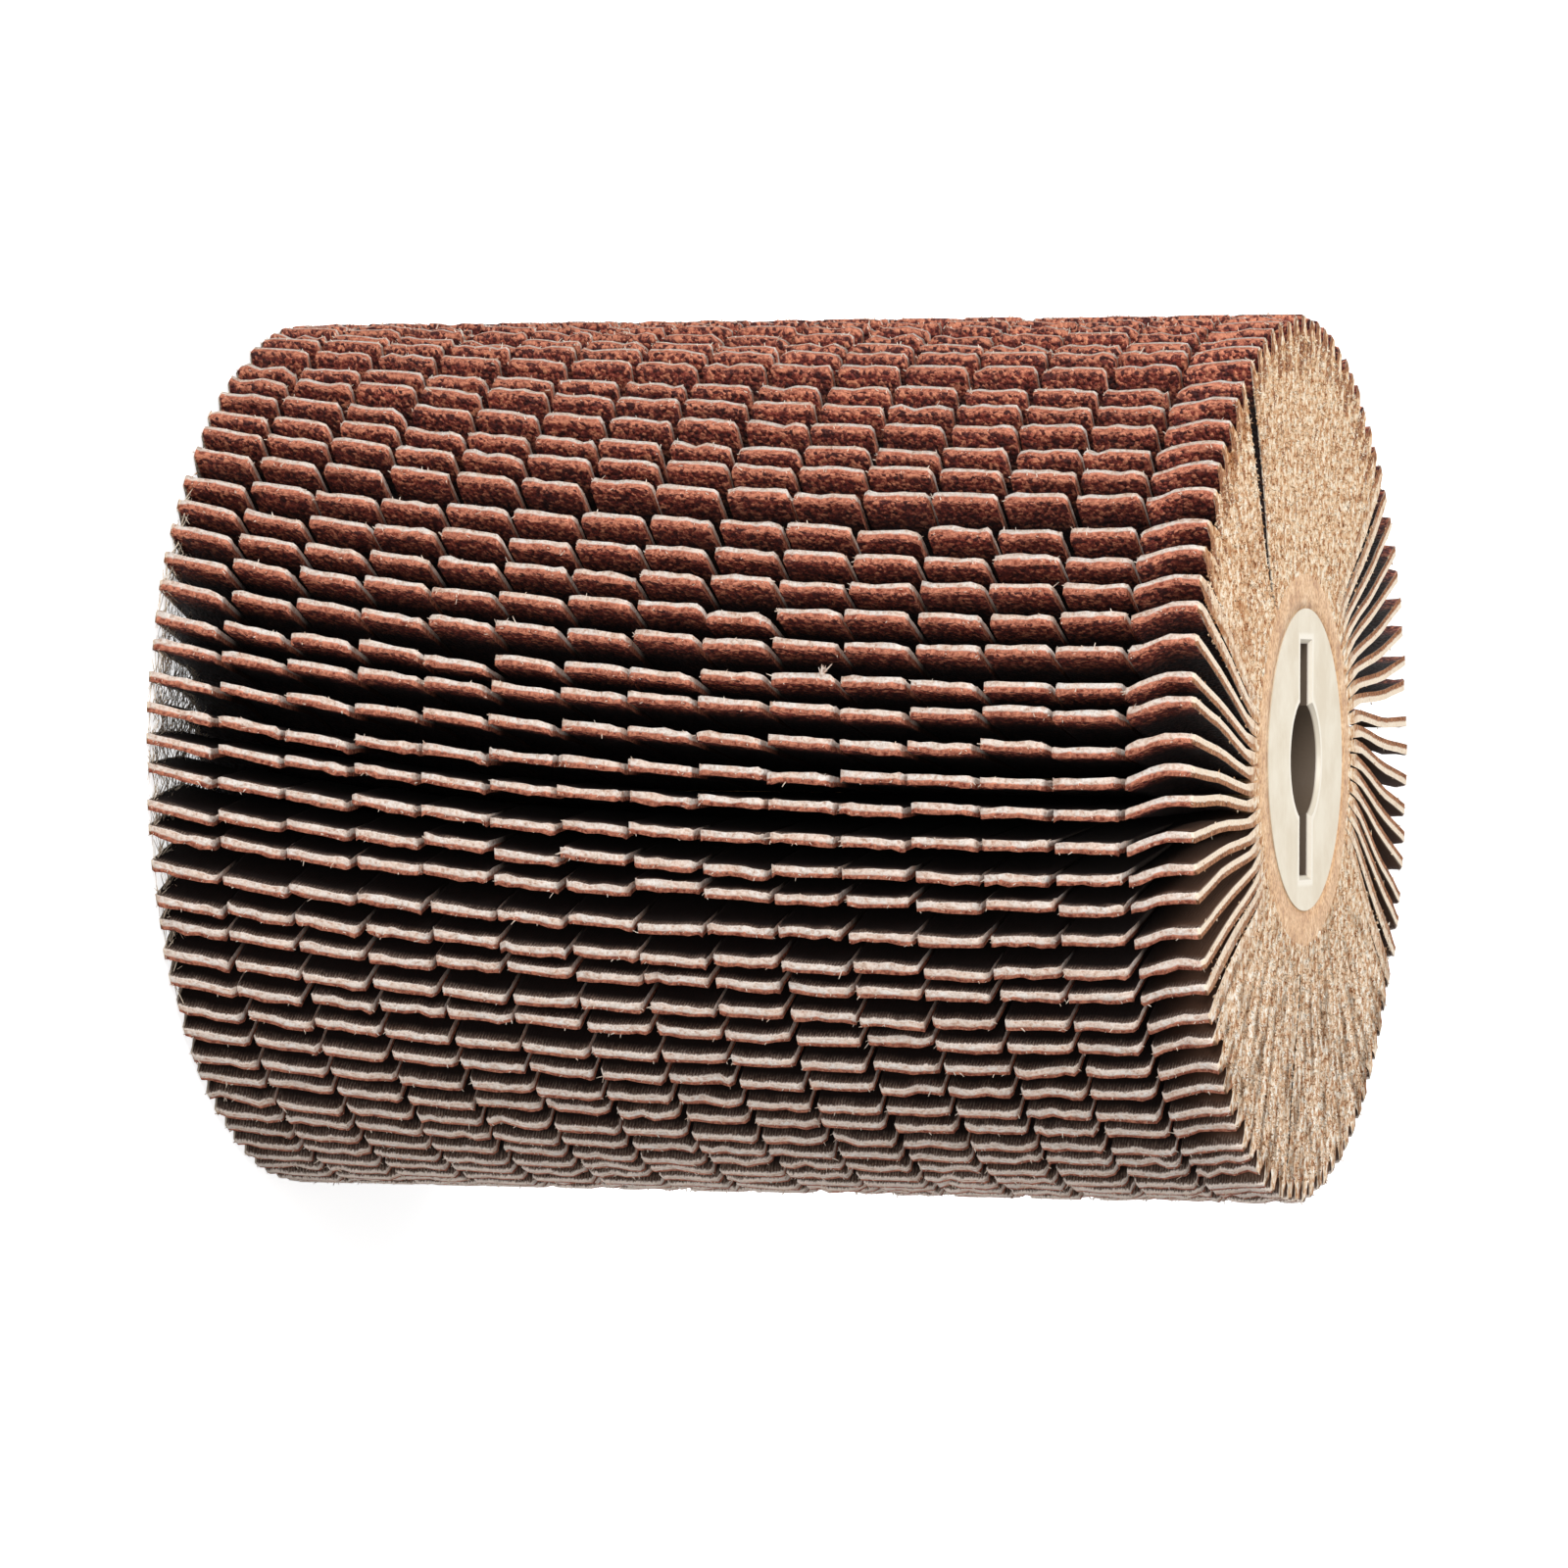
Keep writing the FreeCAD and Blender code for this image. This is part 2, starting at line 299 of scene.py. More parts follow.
def backing_material():
    """Tan cotton twill with a fine weave, with painted shade deep between the flaps, warmer near the upper
    end.
    """
    material, nodes, links, shader = new_material("cloth_backing")
    place = object_coordinates(nodes, links)
    along = nodes.new("ShaderNodeTexWave")
    along.bands_direction = "Z"
    along.inputs["Scale"].default_value = 0.32 / (RIB_PITCH * MM)
    along.inputs["Distortion"].default_value = 2.0
    along.inputs["Detail"].default_value = 2.0
    links.new(place, along.inputs["Vector"])
    threads = noise(nodes, links, object_coordinates(nodes, links, (1.0, 1.0, 3.0)), 0.6 * MM)
    ribs = calculate(nodes, links, "MULTIPLY", along.outputs["Fac"], 0.22)
    weave = calculate(nodes, links, "MULTIPLY", calculate(nodes, links, "ADD", ribs, 0.45), threads)
    colour = ramp(nodes, links, weave, [
        (0.16, (0.040, 0.024, 0.018)),
        (0.28, (0.130, 0.088, 0.070)),
        (0.40, (0.340, 0.265, 0.215)),
    ])
    stain = noise(nodes, links, place, 7.0 * MM)
    tint = ramp(nodes, links, stain, [(0.35, (0.70, 0.62, 0.56)), (0.65, (1.0, 1.0, 1.0))])
    colour = multiply_colours(nodes, links, colour, tint)
    depth = attribute(nodes, "depth_mm")
    z = separate(nodes, links, place)[2]
    # Painted shade: the cloth turns nearly black with depth below the rim. Near the upper end it is painted
    # lighter and warmer, as painted light from the end face.
    painted_end_light = remap(nodes, links, z, WARM_SHADE[0] * MM, WARM_SHADE[1] * MM)
    deep = mix_colours(nodes, links, painted_end_light, (0.012, 0.007, 0.006), (0.105, 0.055, 0.034))
    colour = mix_colours(nodes, links, remap(nodes, links, depth, 0.2, 1.9), colour, deep)
    frayed = remap(nodes, links, calculate(nodes, links, "ADD", depth, threads), 0.60, 0.90, 1.0, 0.0)
    colour = mix_colours(nodes, links, frayed, colour, (0.80, 0.69, 0.61))
    colour = frayed_colour(nodes, links, colour, (0.62, 0.52, 0.42))
    links.new(colour, shader.inputs["Base Color"])
    shader.inputs["Roughness"].default_value = 0.9
    shader.inputs["Specular IOR Level"].default_value = 0.15
    bump(nodes, links, shader, weave, 0.10 * MM)
    return material


# Where the looks of the cut edges change, in millimetres in the row frame, in which X points down in the
# picture and Y away from the camera: painted shade begins to grey the streaks, rims turn less rusty, and
# brown streaks fade.
PAINTED_SHADE_STREAKS_X = (4.0, 34.0)
RIM_RUST_X = (-44.0, 26.0)
BROWN_STREAKS_Y = (-29.0, -13.0)


def end_colour(nodes, links, place, ragged, broad, rust):
    """Frayed tan cotton of the wheel's ends, with radial streaks, dark lines of grit and painted shade on the
    low side.
    """
    x, y, _ = separate(nodes, links, place)
    speckle = noise(nodes, links, place, 1.05 * MM, rough=0.7)
    tan = ramp(nodes, links, speckle, [
        (0.35, (0.34, 0.140, 0.058)),
        (0.43, (0.60, 0.345, 0.180)),
        (0.52, (0.77, 0.565, 0.370)),
        (0.62, (0.90, 0.790, 0.640)),
    ])
    streaks = radial_noise(nodes, links, x, y, 1.9 * MM)
    brown_streaks = ramp(nodes, links, streaks, [
        (0.37, (0.58, 0.36, 0.22)),
        (0.48, (0.98, 0.93, 0.88)),
        (0.60, (1.06, 1.10, 1.16)),
    ])
    # Painted shade: towards the lower side of the picture these streaks grey and darken the end face.
    painted_shade_streaks = ramp(nodes, links, streaks, [
        (0.37, (0.38, 0.35, 0.34)),
        (0.49, (0.88, 0.91, 0.98)),
        (0.62, (1.08, 1.18, 1.34)),
    ])
    low_side = remap(nodes, links, x, PAINTED_SHADE_STREAKS_X[0] * MM, PAINTED_SHADE_STREAKS_X[1] * MM)
    near_side = remap(nodes, links, y, BROWN_STREAKS_Y[0] * MM, BROWN_STREAKS_Y[1] * MM, 0.85, 0.0)
    high_side = calculate(nodes, links, "SUBTRACT", 1.0, low_side)
    brown_share = calculate(nodes, links, "MULTIPLY", near_side, high_side)
    for share, tint in ((brown_share, brown_streaks), (low_side, painted_shade_streaks)):
        tan = mix_colours(nodes, links, share, tan, multiply_colours(nodes, links, tan, tint))

    rim_lines = remap(nodes, links, attribute(nodes, "depth_mm"), 2.0, 9.0, 0.72, 0.0)
    lines = calculate(nodes, links, "ADD", rim_lines, remap(nodes, links, broad, 0.44, 0.66, 0.0, 0.42))
    line_strength = remap(nodes, links, low_side, 0.0, 1.0, 1.0, 0.45)
    lines = calculate(nodes, links, "MULTIPLY", lines, line_strength)
    dark_band = remap(nodes, links, calculate(nodes, links, "ADD", ragged, lines), 1.44, 1.60)
    return mix_colours(nodes, links, dark_band, tan, rust)


def edge_material():
    """Cut edge of the cloth: cream cotton ends, red-brown grain along the grit side, painted shade deeper
    down.
    """
    material, nodes, links, shader = new_material("cut_edge")
    place = object_coordinates(nodes, links)
    fibre = noise(nodes, links, place, 0.45 * MM, detail=4.0, rough=0.65)
    broad = noise(nodes, links, place, 3.0 * MM, detail=2.0)
    cream = ramp(nodes, links, fibre, [
        (0.28, (0.38, 0.225, 0.160)),
        (0.40, (0.59, 0.455, 0.380)),
        (0.54, (0.73, 0.665, 0.610)),
        (0.72, (0.83, 0.790, 0.750)),
    ])
    pink = ramp(nodes, links, broad, [(0.38, (1.0, 0.89, 0.82)), (0.62, (1.0, 1.0, 1.0))])
    cream = multiply_colours(nodes, links, cream, pink)
    rust = ramp(nodes, links, fibre, [(0.36, (0.20, 0.042, 0.026)), (0.62, (0.66, 0.260, 0.160))])
    end_rust = ramp(nodes, links, fibre, [(0.36, (0.115, 0.040, 0.020)), (0.64, (0.46, 0.220, 0.115))])
    unevenness = calculate(nodes, links, "MULTIPLY", fibre, 0.55)
    ragged = calculate(nodes, links, "ADD", attribute(nodes, "across"), unevenness)

    x = separate(nodes, links, place)[0]
    # The rims are redder towards the top of the picture and paler towards its bottom.
    rust_towards_top = remap(nodes, links, x, RIM_RUST_X[0] * MM, RIM_RUST_X[1] * MM, 0.15, -0.05)
    rusted = remap(nodes, links, calculate(nodes, links, "ADD", ragged, rust_towards_top), 0.74, 0.92)
    rim = mix_colours(nodes, links, rusted, cream, rust)
    # Painted shade: the edges turn nearly black deeper below the rim, between the flaps.
    shaded = remap(nodes, links, attribute(nodes, "depth_mm"), 2.5, 7.0, 0.0, 0.96)
    rim = mix_colours(nodes, links, shaded, rim, (0.008, 0.004, 0.003))

    at_end = attribute(nodes, "end")
    bright_cream = mix_colours(nodes, links, 0.6, cream, (0.93, 0.79, 0.60))
    open_rim = mix_colours(nodes, links, remap(nodes, links, ragged, 0.74, 0.88), bright_cream, end_rust)
    rim = mix_colours(nodes, links, remap(nodes, links, at_end, 0.0, 0.2), rim, open_rim)
    end = end_colour(nodes, links, place, ragged, broad, end_rust)
    colour = mix_colours(nodes, links, remap(nodes, links, at_end, 0.3, 0.9), rim, end)
    links.new(colour, shader.inputs["Base Color"])
    shader.inputs["Roughness"].default_value = 0.95
    shader.inputs["Specular IOR Level"].default_value = 0.1
    bump(nodes, links, shader, fibre, 0.25 * MM)
    return material


def resin_material():
    """Cast amber resin with a waxy surface and small stains."""
    material, nodes, links, shader = new_material("cast_resin")
    place = object_coordinates(nodes, links)
    mottled = noise(nodes, links, place, 2.2 * MM, detail=4.0)
    fine = noise(nodes, links, place, 0.5 * MM, detail=2.0)
    colour = ramp(nodes, links, mottled, [
        (0.32, (0.41, 0.205, 0.088)),
        (0.50, (0.62, 0.375, 0.190)),
        (0.70, (0.77, 0.540, 0.330)),
    ])
    specks = ramp(nodes, links, fine, [
        (0.36, (0.72, 0.60, 0.50)),
        (0.50, (1.0, 1.0, 1.0)),
        (0.66, (1.12, 1.16, 1.22)),
    ])
    colour = multiply_colours(nodes, links, colour, specks)
    links.new(colour, shader.inputs["Base Color"])
    shader.inputs["Roughness"].default_value = 0.5
    shader.inputs["Coat Weight"].default_value = 0.15
    shader.inputs["Coat Roughness"].default_value = 0.3
    bump(nodes, links, shader, calculate(nodes, links, "ADD", mottled, fine), 0.12 * MM)
    return material


def core_material():
    """Moulded ivory plastic with faint flow marks: painted highlight round the bore, painted shade on its
    chamfer and inside.
    """
    material, nodes, links, shader = new_material("ivory_plastic")
    place = object_coordinates(nodes, links)
    flow = noise(nodes, links, object_coordinates(nodes, links, (1.0, 1.0, 0.3)), 5.0 * MM)
    fine = noise(nodes, links, place, 0.6 * MM)
    colour = ramp(nodes, links, flow, [
        (0.35, (0.635, 0.550, 0.415)),
        (0.65, (0.720, 0.650, 0.520)),
    ])

    x, y, z = separate(nodes, links, place)
    x = calculate(nodes, links, "ABSOLUTE", x, 0.0)
    y = calculate(nodes, links, "ABSOLUTE", y, 0.0)
    from_bore = calculate(nodes, links, "SUBTRACT", axis_distance(nodes, links, x, y), BORE_RADIUS * MM)
    past_key = calculate(nodes, links, "SUBTRACT", x, KEYWAY_REACH * MM)
    beside_key = calculate(nodes, links, "SUBTRACT", y, KEYWAY_HALF_WIDTH * MM)
    from_key = calculate(nodes, links, "MAXIMUM", past_key, beside_key)
    outline = calculate(nodes, links, "MINIMUM", from_bore, from_key)
    # Painted highlight: a paler band round the bore's edge.
    painted_bore_highlight = remap(nodes, links, outline, 0.9 * MM, 1.4 * MM, 1.0, 0.0)
    colour = mix_colours(nodes, links, painted_bore_highlight, colour, (0.80, 0.74, 0.63))
    # Painted shade: the chamfer is darker, against the light that falls on it.
    painted_chamfer_shade = remap(nodes, links, outline, 0.45 * MM, 0.60 * MM, 1.0, 0.0)
    colour = mix_colours(nodes, links, painted_chamfer_shade, colour, (0.56, 0.50, 0.40))
    below_top = calculate(nodes, links, "SUBTRACT", WHEEL_LENGTH * MM, z)
    from_face = calculate(nodes, links, "MINIMUM", z, below_top)
    # Painted shade: the bore's wall is darkened inside the end faces.
    at_wall = remap(nodes, links, outline, 0.1 * MM, 0.3 * MM, 1.0, 0.0)
    inside = remap(nodes, links, from_face, 0.30 * MM, 0.55 * MM)
    painted_bore_shade = calculate(nodes, links, "MULTIPLY", at_wall, inside)
    colour = mix_colours(nodes, links, painted_bore_shade, colour, (0.135, 0.098, 0.068))
    links.new(colour, shader.inputs["Base Color"])
    shader.inputs["Roughness"].default_value = 0.42
    bump(nodes, links, shader, fine, 0.03 * MM)
    return material


# Where the columns of one strip's mesh lie across its width, closer together at its sides.
STRIP_COLUMNS = np.array([0.0, 0.055, 0.2, 0.4, 0.6, 0.8, 0.945, 1.0])

# How far each column of a strip's rim is rounded down, in millimetres.
CORNER_DROP = np.array([0.30, 0.05, 0.0, 0.0, 0.0, 0.0, 0.12, 0.60])

# Above 1 each strip slants more than the row that it stands in, so that the row has a step at each slit.
SAW_TOOTH = 1.35


def flap_rows():
    """Radii of the rows of a flap's mesh, closer together at the rim, and the row where the slits begin."""
    root = np.linspace(ROOT_RADIUS, SLIT_START, 4)
    leaf = np.array([31.0, 35.0, 39.0, 42.5, 45.5, 47.8, 49.2, RIM_RADIUS])
    return np.concatenate([root, leaf]), len(root) - 1


def carried(share):
    """How far the flaps are carried clockwise, in millimetres, at a share of the wheel's length."""
    shift = SHIFT_AT_LOWER_END * (1.0 - np.clip(share, 0.0, 1.0)) ** SHIFT_FADE
    return shift + LAST_STRIP_SHIFT * ease(share, *LAST_STRIP_RISE)


def leaned(reach):
    """How far clockwise of its root plane a flap lies, in millimetres, at a distance from the axis."""
    bend = BEND_END - BEND_START
    inside = np.clip(reach - BEND_START, 0.0, bend)
    return LEAN_SLOPE * (inside ** 2 / (2 * bend) + np.maximum(reach - BEND_END, 0.0))


def unit(vectors):
    """Vectors scaled to a length of 1."""
    return vectors / np.linalg.norm(vectors, axis=-1, keepdims=True)


def away_from_axis(points):
    """Level directions that point away from the wheel's axis."""
    return unit(points * np.array([1.0, 1.0, 0.0]))


def quarter_turn(vectors):
    """Level vectors turned by a quarter anticlockwise, seen from the upper end."""
    return np.stack([-vectors[..., 1], vectors[..., 0], np.zeros(vectors.shape[:-1])], axis=-1)


def blend(first, second, share):
    """Points part of the way from one set to another."""
    return first * (1.0 - share) + second * share


class MeshParts:
    """Vertices, faces and their attributes, gathered for one piece."""

    def __init__(self):
        self.points = []
        self.across = []
        self.depth = []
        self.end = []
        self.faces = []
        self.kinds = []
        self.rounded = []
        self.count = 0

    def add_points(self, points, across, depth, end):
        """Add an array of points and return their numbers in the same layout."""
        flat = points.reshape(-1, 3)
        self.points.append(flat)
        self.across.append(np.broadcast_to(across, points.shape[:-1]).reshape(-1))
        self.depth.append(np.broadcast_to(depth, points.shape[:-1]).reshape(-1))
        self.end.append(np.broadcast_to(end, points.shape[:-1]).reshape(-1))
        numbers = np.arange(self.count, self.count + len(flat)).reshape(points.shape[:-1])
        self.count += len(flat)
        return numbers

    def add_quads(self, a, b, c, d, kind, rounded=True):
        """Add four-sided faces from arrays of corner numbers, shaded as a rounded surface or as flat ones."""
        quads = np.stack([a.ravel(), b.ravel(), c.ravel(), d.ravel()], axis=1)
        self.faces.append(quads)
        self.kinds.append(np.full(len(quads), kind))
        self.rounded.append(np.full(len(quads), rounded))

    def build(self, name, materials):
        """Make the object."""
        points = np.concatenate(self.points)
        faces = np.concatenate(self.faces)
        mesh = bpy.data.meshes.new(name)
        mesh.vertices.add(len(points))
        mesh.vertices.foreach_set("co", (points * MM).astype(np.float32).ravel())
        mesh.loops.add(faces.size)
        mesh.loops.foreach_set("vertex_index", faces.astype(np.int32).ravel())
        mesh.polygons.add(len(faces))
        mesh.polygons.foreach_set("loop_start", np.arange(0, faces.size, 4, dtype=np.int32))
        mesh.polygons.foreach_set("material_index", np.concatenate(self.kinds).astype(np.int32))
        mesh.polygons.foreach_set("use_smooth", np.concatenate(self.rounded))
        for key, values in (("across", self.across), ("depth_mm", self.depth), ("end", self.end)):
            store = mesh.attributes.new(key, "FLOAT", "POINT")
            store.data.foreach_set("value", np.concatenate(values).astype(np.float32))
        for material in materials:
            mesh.materials.append(material)
        mesh.update()
        mesh.validate()
        piece = bpy.data.objects.new(name, mesh)
        bpy.context.scene.collection.objects.link(piece)
        return piece


# Materials of a flap, by their place in its list of materials.
GRIT = 0
BACKING = 1
EDGE = 2

# Wider spaces between the flaps that the photograph shows, as (place in flap numbers, extra width in
# millimetres), and over how many flaps they fade.
WIDE_SPACES = ((53.5, 1.2), (59.5, 0.8), (72.5, 0.5))
SPACE_FADE = 2.0

# Least and greatest width of a slit at the rim, in millimetres.
SLIT_WIDTHS = (0.28, 0.56)

# Unevenness, as standard deviations in millimetres: a strip's drift along the wheel; the place across its
# row of a flap, of a strip and of the few odd strips that stand out of line, with the share of those; a
# strip's twist and its bow.
STRIP_DRIFT = 0.10
FLAP_JITTER = 0.19
STRIP_JITTER = 0.17
ODD_JITTER = 0.45
ODD_SHARE = 0.05
STRIP_TWIST = 0.13
STRIP_BOW = 0.08

# Exponent with which the strips grow loose from their slits' inner ends to the rim.
LOOSENING = 1.6

# Rounds in which the lean of a flap settles.
LEAN_ROUNDS = 4


def pushed_aside(number):
    """How far clockwise the wider spaces push a flap at its rim, in millimetres."""
    total = 0.0
    for place, width in WIDE_SPACES:
        away = number - place
        total -= math.copysign(width / 2, away) * math.exp(-(abs(away) - 0.5) / SPACE_FADE)
    return total


def strip_unevenness(random):
    """How far clockwise each point of the strips' rims stands out of line, in millimetres."""
    jitter = random.normal(0.0, STRIP_JITTER, STRIPS)
    odd = random.random(STRIPS) < ODD_SHARE
    jitter = jitter + odd * random.normal(0.0, ODD_JITTER, STRIPS)
    twist = random.normal(0.0, STRIP_TWIST, STRIPS)
    bow = random.normal(0.0, STRIP_BOW, STRIPS)
    centred = STRIP_COLUMNS - 0.5
    loose = jitter[:, None] + twist[:, None] * centred[None] + bow[:, None] * (centred ** 2 * 4 - 0.33)[None]
    return loose - 0.4 * CORNER_DROP[None] * random.uniform(0.3, 1.2, (STRIPS, 1))


def flap_surface(random, number):
    """Middle surface of one flap as cylinder coordinates: radius, angle and height of each mesh point.

    The arrays are (row, strip, column). The columns beside a slit meet at its inner end.
    """
    rows, slit_row = flap_rows()
    strips = np.arange(STRIPS)
    radius = np.broadcast_to(rows[:, None, None], (len(rows), STRIPS, len(STRIP_COLUMNS))).copy()
    share = (strips[:, None] + STRIP_COLUMNS[None, :]) / STRIPS
    centre = (strips + 0.5) / STRIPS

    opened = np.clip((rows - SLIT_START) / (RIM_RADIUS - SLIT_START), 0.0, 1.0)
    gap = random.uniform(*SLIT_WIDTHS, STRIPS + 1)
    gap[[0, -1]] = 0.0
    squeeze = gap[:-1, None] * (1.0 - STRIP_COLUMNS) - gap[1:, None] * STRIP_COLUMNS
    drift = random.normal(0.0, STRIP_DRIFT, STRIPS)
    drift[[0, -1]] = 0.0
    height = np.broadcast_to(share * WHEEL_LENGTH, radius.shape).copy()
    height += opened[:, None, None] * squeeze[None]
    height += (opened ** 2)[:, None, None] * drift[None, :, None]

    shift = SAW_TOOTH * carried(share) + (1.0 - SAW_TOOTH) * carried(centre)[:, None]
    shift = shift + random.normal(0.0, FLAP_JITTER) + pushed_aside(number)
    loose = strip_unevenness(random)
    across = shift[None] * ease(radius, SHIFT_START, SHIFT_END)
    across = across + (opened ** LOOSENING)[:, None, None] * loose[None]

    # The lean depends on the distance along the root plane, which the lean itself shortens.
    reach = radius
    for _ in range(LEAN_ROUNDS):
        aside = leaned(reach) + across
        reach = np.sqrt(radius ** 2 - aside ** 2)
    angle = -np.arcsin(aside / radius) / DEGREE
    return rows, slit_row, radius, angle, height


# The torn tuft: its flap, strip, column in the strip's mesh and number of fibres.
TORN_FLAP = 65
TORN_STRIP = 9
TORN_COLUMN = 5
TORN_FIBRES = 16

# Flap sides that stand apart at the upper end, as (flap number, 0 for the grit side or 1 for the cloth side).
PARTED_FLAPS = ((53, 0), (54, 1))

# Arcs where the flaps stand apart at the ends of the wheel, in degrees from the side that faces the camera,
# towards the top of the picture, and the angle over which they close again.
APART_ARCS = ((-22.0, 12.0), (150.0, 200.0))
CLOSING_ANGLE = 24.0

# Wear towards a flap's rim, in millimetres: the radius where it starts, the unevenness of single points, the
# mean and spread of a strip's reach, and the deepest wear apart from the corners. The corners are rounded by
# CORNER_DROP times a number between the last two.
WEAR_START = 44.0
POINT_WEAR = 0.18
STRIP_REACH = (-0.12, 0.14)
DEEPEST_WEAR = 0.9
CORNER_WEAR = (0.55, 1.5)

# Half of a flap's thickness: mean and spread of its growth at the rim, as shares; the size of the lumps of
# grit, in millimetres, and the radii between which they begin.
RIM_SWELLING = (0.14, 0.14)
GRIT_LUMPS = 0.045
LUMP_RADII = (24.0, 28.0)

# How far a flap's end edges spread, as shares of half the space between two flaps: where the fray closes that
# space, how much of it is drawn in at the rim, and near the resin where the flaps stand apart.
CLOSED_SPREAD = 1.30
RIM_DRAW = 0.85
OPEN_SPREAD = 1.05

# Radii in millimetres between which the fray begins, thins out where the flaps stand apart, is drawn in at
# the rim, begins to sink below the end face, rises from the sunk roots, and takes on the look of bare cotton.
FRAY_RADII = (19.0, 22.0)
OPEN_RADII = (21.0, 34.0)
DRAW_RADII = (46.5, RIM_RADIUS)
SINK_RADII = (20.0, 24.0)
ROOT_RADII = (19.0, 21.6)
COTTON_RADII = (21.0, 26.0)

# Half thickness of a flap's end edges as shares of the cloth's thickness: where the flaps stand apart, at a
# parted side, and everywhere at the least.
OPEN_HALF = 0.60
PARTED_HALF = 0.50
LEAST_HALF = 0.45

# How far the end edges lie below the end faces, in millimetres: for frayed edges, the step from one flap to
# the next that keeps overlapping frays apart, the most by which open edges vary, and at the roots.
FRAY_SINK = 0.22
SINK_STEP = 0.006
OPEN_SINK = 0.08
ROOT_SINK = 0.5

# Cotton ends and threads, each kind by its least and greatest length and width, in millimetres.
TORN_LENGTHS = (0.45, 1.05)
TORN_WIDTHS = (0.16, 0.30)
RIM_FIBRE_LENGTHS = (0.15, 0.50)
RIM_FIBRE_WIDTHS = (0.10, 0.24)
END_FIBRE_LENGTHS = (0.25, 0.60)
END_FIBRE_WIDTHS = (0.16, 0.42)
THREAD_LENGTHS = (0.9, 3.2)
THREAD_WIDTHS = (0.10, 0.20)

# Share of the cotton ends at a rim that are longer than the others, and how many times as long they are.
LONG_SHARE = 0.05
LONG_TIMES = 2.0

# Share of the cotton ends that an open end edge keeps.
OPEN_FIBRES = 0.05

# Share of a fibre's width that is left at its tip.
TIP_WIDTH = 0.45

# How deep fibres root in the rim and in the end edges, how far inside the end faces they stay, and how far
# inside the rim the flaps stay, in millimetres.
RIM_ROOTING = 0.12
END_ROOTING = 0.08
FACE_MARGIN = 0.02
RIM_MARGIN = 0.05

# Radii between which the cotton ends of an end edge and the long threads start, in millimetres.
END_FIBRE_RADII = (21.0, 48.0)
THREAD_RADII = (30.0, 49.5)


def end_fill(number):
    """How far a flap's frayed end edges reach its neighbours, from 0 where it stands apart to 1."""
    tip = number * PITCH - LEAN_AT_UPPER_END
    height = (-90.0 - tip) % 360.0
    fill = 1.0
    for low, high in APART_ARCS:
        middle = (low + high) / 2
        off = abs((height - middle + 180.0) % 360.0 - 180.0) - (high - low) / 2
        fill = min(fill, float(ease(off, 0.0, CLOSING_ANGLE)))
    return fill


def keep_inside(points):
    """Pull points that stand beyond the rim back to it."""
    reach = np.hypot(points[..., 0], points[..., 1])
    factor = np.minimum(1.0, (RIM_RADIUS - RIM_MARGIN) / reach)
    points = points.copy()
    points[..., :2] *= factor[..., None]
    return points


def rim_wear(random):
    """How far each point of a flap's rim stands out from the full radius, in millimetres, never above 0."""
    unevenness = random.normal(0.0, POINT_WEAR, (STRIPS, len(STRIP_COLUMNS)))
    strip_reach = random.normal(*STRIP_REACH, STRIPS)
    corners = CORNER_DROP[None] * random.uniform(*CORNER_WEAR, (STRIPS, 1))
    return np.clip(unevenness + strip_reach[:, None], -DEEPEST_WEAR, 0.0) - corners


def fray_ends(random, number, fill, rows, centre, halves):
    """Spread and sink the two end edges of a flap, and return how far each of its points belongs to them.

    The frayed cloth fills most of the space between the flaps, less so at the rim. The first of the two
    half thicknesses is the grit side's.
    """
    between = rows * PITCH * DEGREE / 2
    closed = between * (CLOSED_SPREAD - RIM_DRAW * ease(rows, *DRAW_RADII))
    slim = np.maximum(between * (OPEN_SPREAD - ease(rows, *OPEN_RADII)), OPEN_HALF * CLOTH_THICKNESS)
    frayed = (fill * closed + (1.0 - fill) * slim) * ease(rows, *FRAY_RADII)
    end = np.zeros(centre.shape[:-1])
    for strip, column, inward in ((0, 0, 1.0), (STRIPS - 1, -1, -1.0)):
        for side, half in enumerate(halves):
            ragged = frayed * (1.0 + random.uniform(-0.14, 0.10, len(rows)) * (0.3 + 0.7 * fill))
            if strip > 0 and (number, side) in PARTED_FLAPS:
                ragged = np.minimum(ragged, PARTED_HALF * CLOTH_THICKNESS)
            half[:, strip, column] = np.maximum(ragged, LEAST_HALF * CLOTH_THICKNESS)
        loose = random.uniform(0.0, OPEN_SINK, len(rows)) * (1.0 - fill)
        sunk = ((FRAY_SINK + SINK_STEP * (number % 3)) * fill + loose) * ease(rows, *SINK_RADII)
        sunk += ROOT_SINK * (1.0 - ease(rows, *ROOT_RADII))
        centre[:, strip, column, 2] += sunk * inward
        end[:, strip, column] = 0.35 + 0.65 * np.maximum(fill, 1.0 - ease(rows, *COTTON_RADII))
    return end


def add_side_faces(parts, grit, back, rounded):
    """Faces on both sides of a strip, from the numbers of its (low side, high side) points on each face."""
    parts.add_quads(grit[0][:-1], grit[0][1:], back[0][1:], back[0][:-1], EDGE, rounded)
    parts.add_quads(grit[1][:-1], back[1][:-1], back[1][1:], grit[1][1:], EDGE, rounded)


